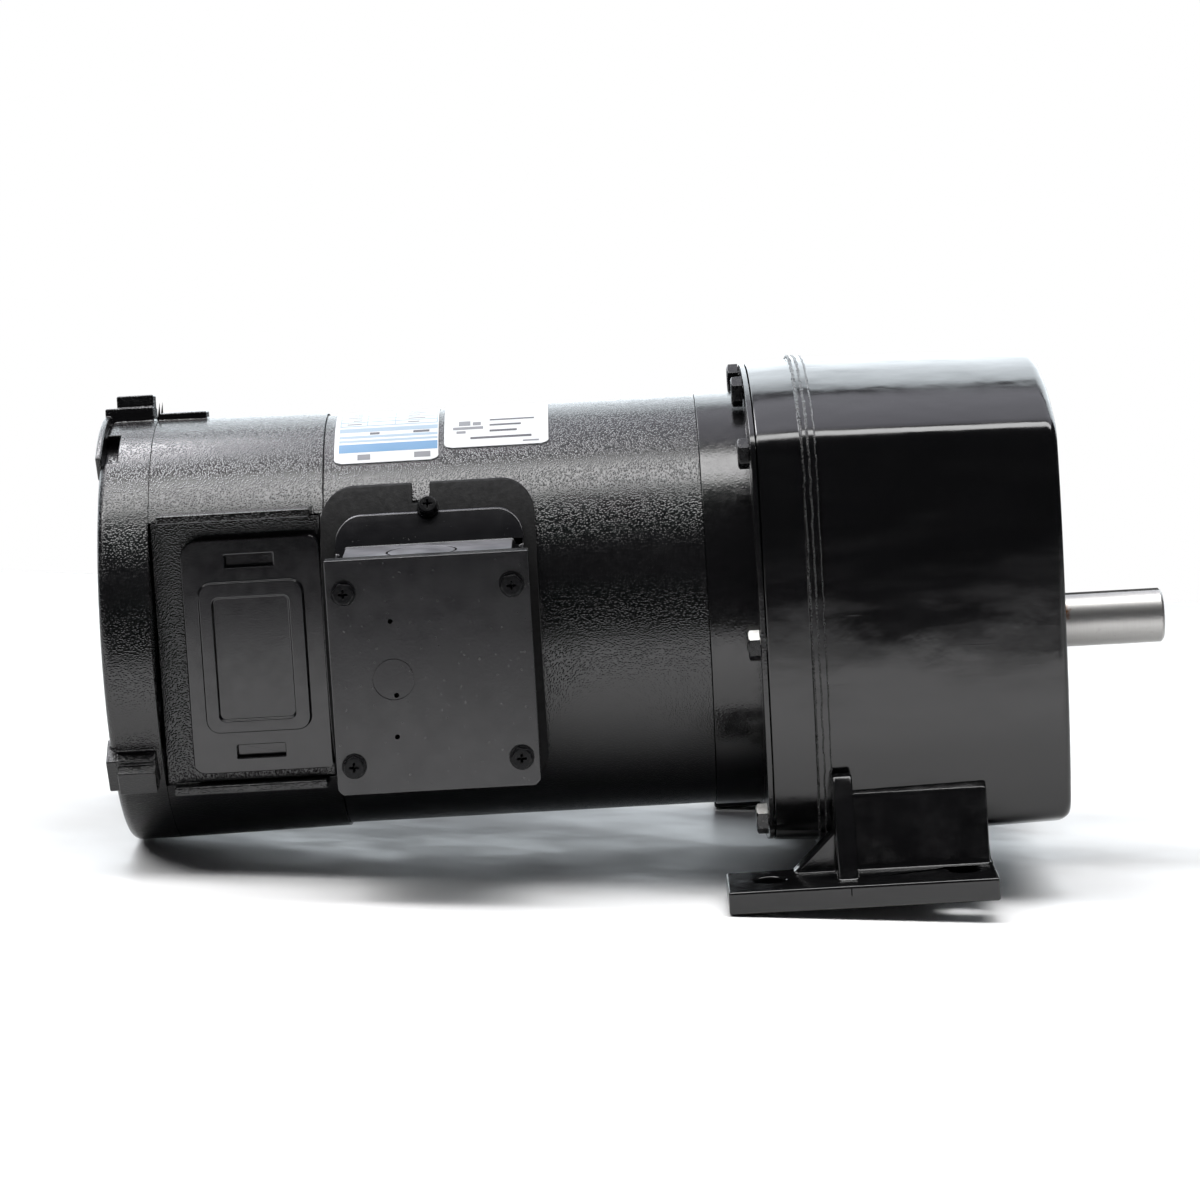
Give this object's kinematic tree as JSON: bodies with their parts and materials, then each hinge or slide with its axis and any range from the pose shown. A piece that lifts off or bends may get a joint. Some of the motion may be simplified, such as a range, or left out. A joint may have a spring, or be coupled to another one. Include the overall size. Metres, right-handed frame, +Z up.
{
  "type": "gearmotor",
  "caption": "Foot-mounted parallel-shaft gearmotor: a brushed DC motor with a side conduit box, bolted to a spur gearbox with an offset keyed output shaft.",
  "frame": {"origin": "centre of the four-hole foot pattern, on the underside of the feet", "axes": "+X along the motor towards the output shaft's end, +Z up, -Y on the conduit box side"},
  "size_m": [0.3666, 0.2112, 0.1745],
  "materials": {
    "black_paint": "glossy black enamel",
    "textured_black": "semi-gloss black enamel with a fine orange-peel texture",
    "dark_plastic": "satin moulded plastic",
    "gasket_rubber": "matt",
    "ground_steel": "ground bare steel",
    "gear_steel": "cut and hardened steel",
    "black_screw": "painted over",
    "plated_bolt": "zinc plate showing through the paint",
    "copper": "copper",
    "ferrite": "sintered ferrite",
    "carbon": "pressed carbon",
    "bronze": "sintered bronze",
    "laminations": "stacked electrical steel",
    "label_film": "printed film"
  },
  "bodies": {
    "housing": {"motor_frame": "textured_black", "rating_label": "label_film", "caution_label": "label_film", "magnet_upper": "ferrite", "magnet_lower": "ferrite", "brush_end_shield": "textured_black", "rear_end_cover": "textured_black", "front_end_shield": "textured_black", "rear_motor_bearing": "ground_steel", "front_motor_bearing": "ground_steel", "brush_holder_near": "bronze", "brush_holder_far": "bronze", "brush_spring_near": "ground_steel", "brush_spring_far": "ground_steel", "brush_cover_near": "dark_plastic", "brush_cover_far": "dark_plastic", "conduit_gasket": "gasket_rubber", "conduit_box": "textured_black", "conduit_cover": "textured_black", "cover_screw_1": "black_screw", "cover_screw_2": "black_screw", "cover_screw_3": "black_screw", "cover_screw_4": "black_screw", "box_screw": "black_screw", "gear_case_rear": "black_paint", "case_gasket": "gasket_rubber", "gear_case_front": "black_paint", "case_bolt_top_near": "black_screw", "case_bolt_top_far": "black_screw", "case_bolt_shoulder_near": "black_screw", "case_bolt_shoulder_far": "black_screw", "case_bolt_side_near": "plated_bolt", "case_bolt_side_far": "black_screw", "case_bolt_low_near": "plated_bolt", "case_bolt_low_far": "black_screw", "first_bushing_rear": "bronze", "first_bushing_front": "bronze", "second_bushing_rear": "bronze", "second_bushing_front": "bronze", "output_bearing_inner": "ground_steel", "output_bearing_outer": "ground_steel", "output_seal": "gasket_rubber"},
    "rotor": {"motor_shaft": "ground_steel", "armature_core": "laminations", "armature_winding_front": "copper", "armature_winding_rear": "copper", "commutator": "copper", "motor_pinion": "gear_steel"},
    "first_intermediate": {"first_intermediate_shaft": "gear_steel", "first_intermediate_gear": "gear_steel"},
    "second_intermediate": {"second_intermediate_shaft": "gear_steel", "second_intermediate_gear": "gear_steel"},
    "output": {"output_shaft": "ground_steel", "output_gear": "gear_steel", "output_gear_key": "gear_steel"},
    "near_brush": {"brush_near": "carbon"},
    "far_brush": {"brush_far": "carbon"}
  },
  "joints": [
    {"name": "rotor_spin", "type": "hinge", "parent": "housing", "child": "rotor", "pos_m": [0, 0, 0.0905], "axis": [1, 0, 0], "continuous": true},
    {"name": "first_intermediate_spin", "type": "hinge", "parent": "housing", "child": "first_intermediate", "pos_m": [0, 0, 0.1265], "axis": [1, 0, 0], "continuous": true},
    {"name": "second_intermediate_spin", "type": "hinge", "parent": "housing", "child": "second_intermediate", "pos_m": [0, -0.0396, 0.11251], "axis": [1, 0, 0], "continuous": true},
    {"name": "output_spin", "type": "hinge", "parent": "housing", "child": "output", "pos_m": [0, 0, 0.0758], "axis": [1, 0, 0], "continuous": true},
    {"name": "near_brush_slide", "type": "slide", "parent": "housing", "child": "near_brush", "axis": [0, -1, 0], "range_m": [0, 0.006], "stiffness_N_per_m": 300, "springref_m": -0.012, "deforming": ["brush_spring_near"]},
    {"name": "far_brush_slide", "type": "slide", "parent": "housing", "child": "far_brush", "axis": [0, 1, 0], "range_m": [0, 0.006], "stiffness_N_per_m": 300, "springref_m": -0.012, "deforming": ["brush_spring_far"]}
  ],
  "couplings": [
    {"joint": "first_intermediate_spin", "follows": "rotor_spin", "ratio": -0.33333},
    {"joint": "second_intermediate_spin", "follows": "rotor_spin", "ratio": 0.11111},
    {"joint": "output_spin", "follows": "rotor_spin", "ratio": -0.031746}
  ]
}
